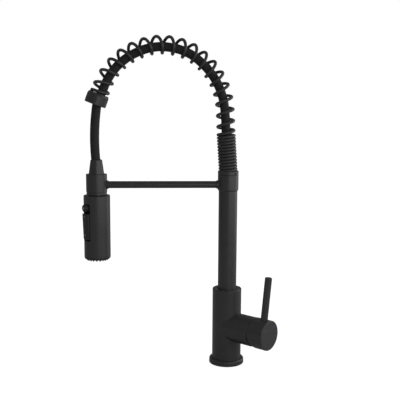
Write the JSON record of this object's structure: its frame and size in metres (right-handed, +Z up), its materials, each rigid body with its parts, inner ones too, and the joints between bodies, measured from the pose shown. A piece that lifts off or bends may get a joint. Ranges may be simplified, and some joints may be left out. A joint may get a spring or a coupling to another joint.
{
  "type": "pre rinse faucet",
  "caption": "Single-lever deck-mounted kitchen mixer: swivelling riser, coil-spring hose arch and a docked pull-down spray head with mode rocker and pause button, matte black",
  "frame": {"origin": "centre of the base ring's underside, on the deck", "axes": "+Z up along the body and riser, -X towards the spray head at rest, +Y away from the side that carries the handle"},
  "size_m": [0.3009, 0.1002, 0.5132],
  "materials": {
    "black_body": "matte black powder coat, fine grain",
    "black_handle": "matte black powder coat, fine grain",
    "black_spout": "matte black powder coat, fine grain",
    "black_spring": "matte black coated spring steel",
    "black_head": "matte black coat on a moulded shell",
    "control_black": "matte black moulded plastic",
    "tray_dark": "deep black moulded plastic",
    "face_dark": "matte black moulded plastic",
    "nozzle_rubber": "soft dark silicone",
    "hose_rubber": "satin black hose",
    "seal_rubber": "matte rubber",
    "brass": "turned brass",
    "steel": "turned stainless steel",
    "dark_screw": "blackened steel",
    "nylon": "natural acetal",
    "grey_plastic": "moulded engineering plastic",
    "ceramic": "polished ceramic",
    "hot_red": "red enamel dot",
    "cold_blue": "blue enamel dot"
  },
  "bodies": {
    "base": {"base_ring": "black_body", "deck_seal": "seal_rubber", "valve_body": "black_body", "swivel_post": "brass", "post_o_rings": "seal_rubber", "post_clip": "steel", "slip_washer": "nylon", "cartridge_base": "grey_plastic", "cartridge_seals": "seal_rubber", "cartridge_shell": "grey_plastic", "ceramic_seat": "ceramic", "cartridge_nut": "brass", "dome_cover": "black_body"},
    "carrier": {"stem_carrier": "nylon", "stem_pin": "steel"},
    "slider": {"ceramic_slider": "ceramic", "slider_driver": "nylon"},
    "handle": {"cartridge_stem": "steel", "handle_cap": "black_handle", "cap_screw": "dark_screw", "lever": "black_handle", "hot_mark": "hot_red", "cold_mark": "cold_blue"},
    "spout": {"riser_tube": "black_spout", "riser_foot": "brass", "hose_adapter": "brass", "adapter_o_ring": "seal_rubber", "crimp_lower": "steel", "riser_insert": "brass", "arm_collar": "black_spout", "arm_rod": "black_spout", "ring_nut": "black_spout", "ring_screw": "dark_screw", "dock_ring": "black_spout", "dock_liner": "nylon", "spring": "black_spring", "end_ferrule": "black_spout", "arch_hose": "hose_rubber", "drop_hose": "hose_rubber"},
    "hose_end": {"cone_nut": "black_spout", "crimp_upper": "steel", "hose_tail": "brass", "tail_o_ring": "seal_rubber"},
    "head": {"head_neck": "black_head", "check_valve": "grey_plastic", "head_shell": "black_head", "head_core": "grey_plastic", "control_tray": "tray_dark", "rocker_pin": "steel", "button_spring": "steel", "flow_plate": "grey_plastic", "nozzle_mat": "nozzle_rubber", "spray_face": "face_dark", "aerator": "steel"},
    "rocker": {"mode_rocker": "control_black"},
    "button": {"pause_button": "control_black"},
    "spool": {"diverter_spool": "brass"}
  },
  "joints": [
    {"name": "spout_swivel", "type": "hinge", "parent": "base", "child": "spout", "pos_m": [0, 0, 0.13], "axis": [0, 0, 1], "range_deg": [-180, 180]},
    {"name": "handle_turn", "type": "hinge", "parent": "base", "child": "carrier", "pos_m": [0, 0, 0.06], "axis": [0.7314, -0.682, 0], "range_deg": [-45, 45]},
    {"name": "handle_tilt", "type": "hinge", "parent": "carrier", "child": "handle", "pos_m": [0.03949, -0.03683, 0.06], "axis": [0.682, 0.7314, 0], "range_deg": [0, 22]},
    {"name": "disc_slide", "type": "slide", "parent": "carrier", "child": "slider", "axis": [0, 0, 1], "range_m": [0, 0.00396]},
    {"name": "head_pull", "type": "slide", "parent": "spout", "child": "hose_end", "axis": [0, 0, -1], "range_m": [0, 0.075], "deforming": ["drop_hose"]},
    {"name": "head_swivel", "type": "hinge", "parent": "hose_end", "child": "head", "pos_m": [-0.2032, 0, 0.29], "axis": [0, 0, 1], "continuous": true},
    {"name": "rocker_tilt", "type": "hinge", "parent": "head", "child": "rocker", "pos_m": [-0.2139, -0.00806, 0.2228], "axis": [-0.6018, 0.7986, 0], "range_deg": [0, 5]},
    {"name": "button_press", "type": "slide", "parent": "head", "child": "button", "axis": [0.7986, 0.6018, 0], "range_m": [0, 0.002], "stiffness_N_per_m": 900, "springref_m": -0.0006},
    {"name": "spool_slide", "type": "slide", "parent": "head", "child": "spool", "axis": [-0.7986, -0.6018, 0], "range_m": [0, 0.00145]}
  ],
  "couplings": [
    {"joint": "disc_slide", "follows": "handle_tilt", "m_per_rad": 0.01024},
    {"joint": "spool_slide", "follows": "rocker_tilt", "m_per_rad": 0.0165}
  ]
}
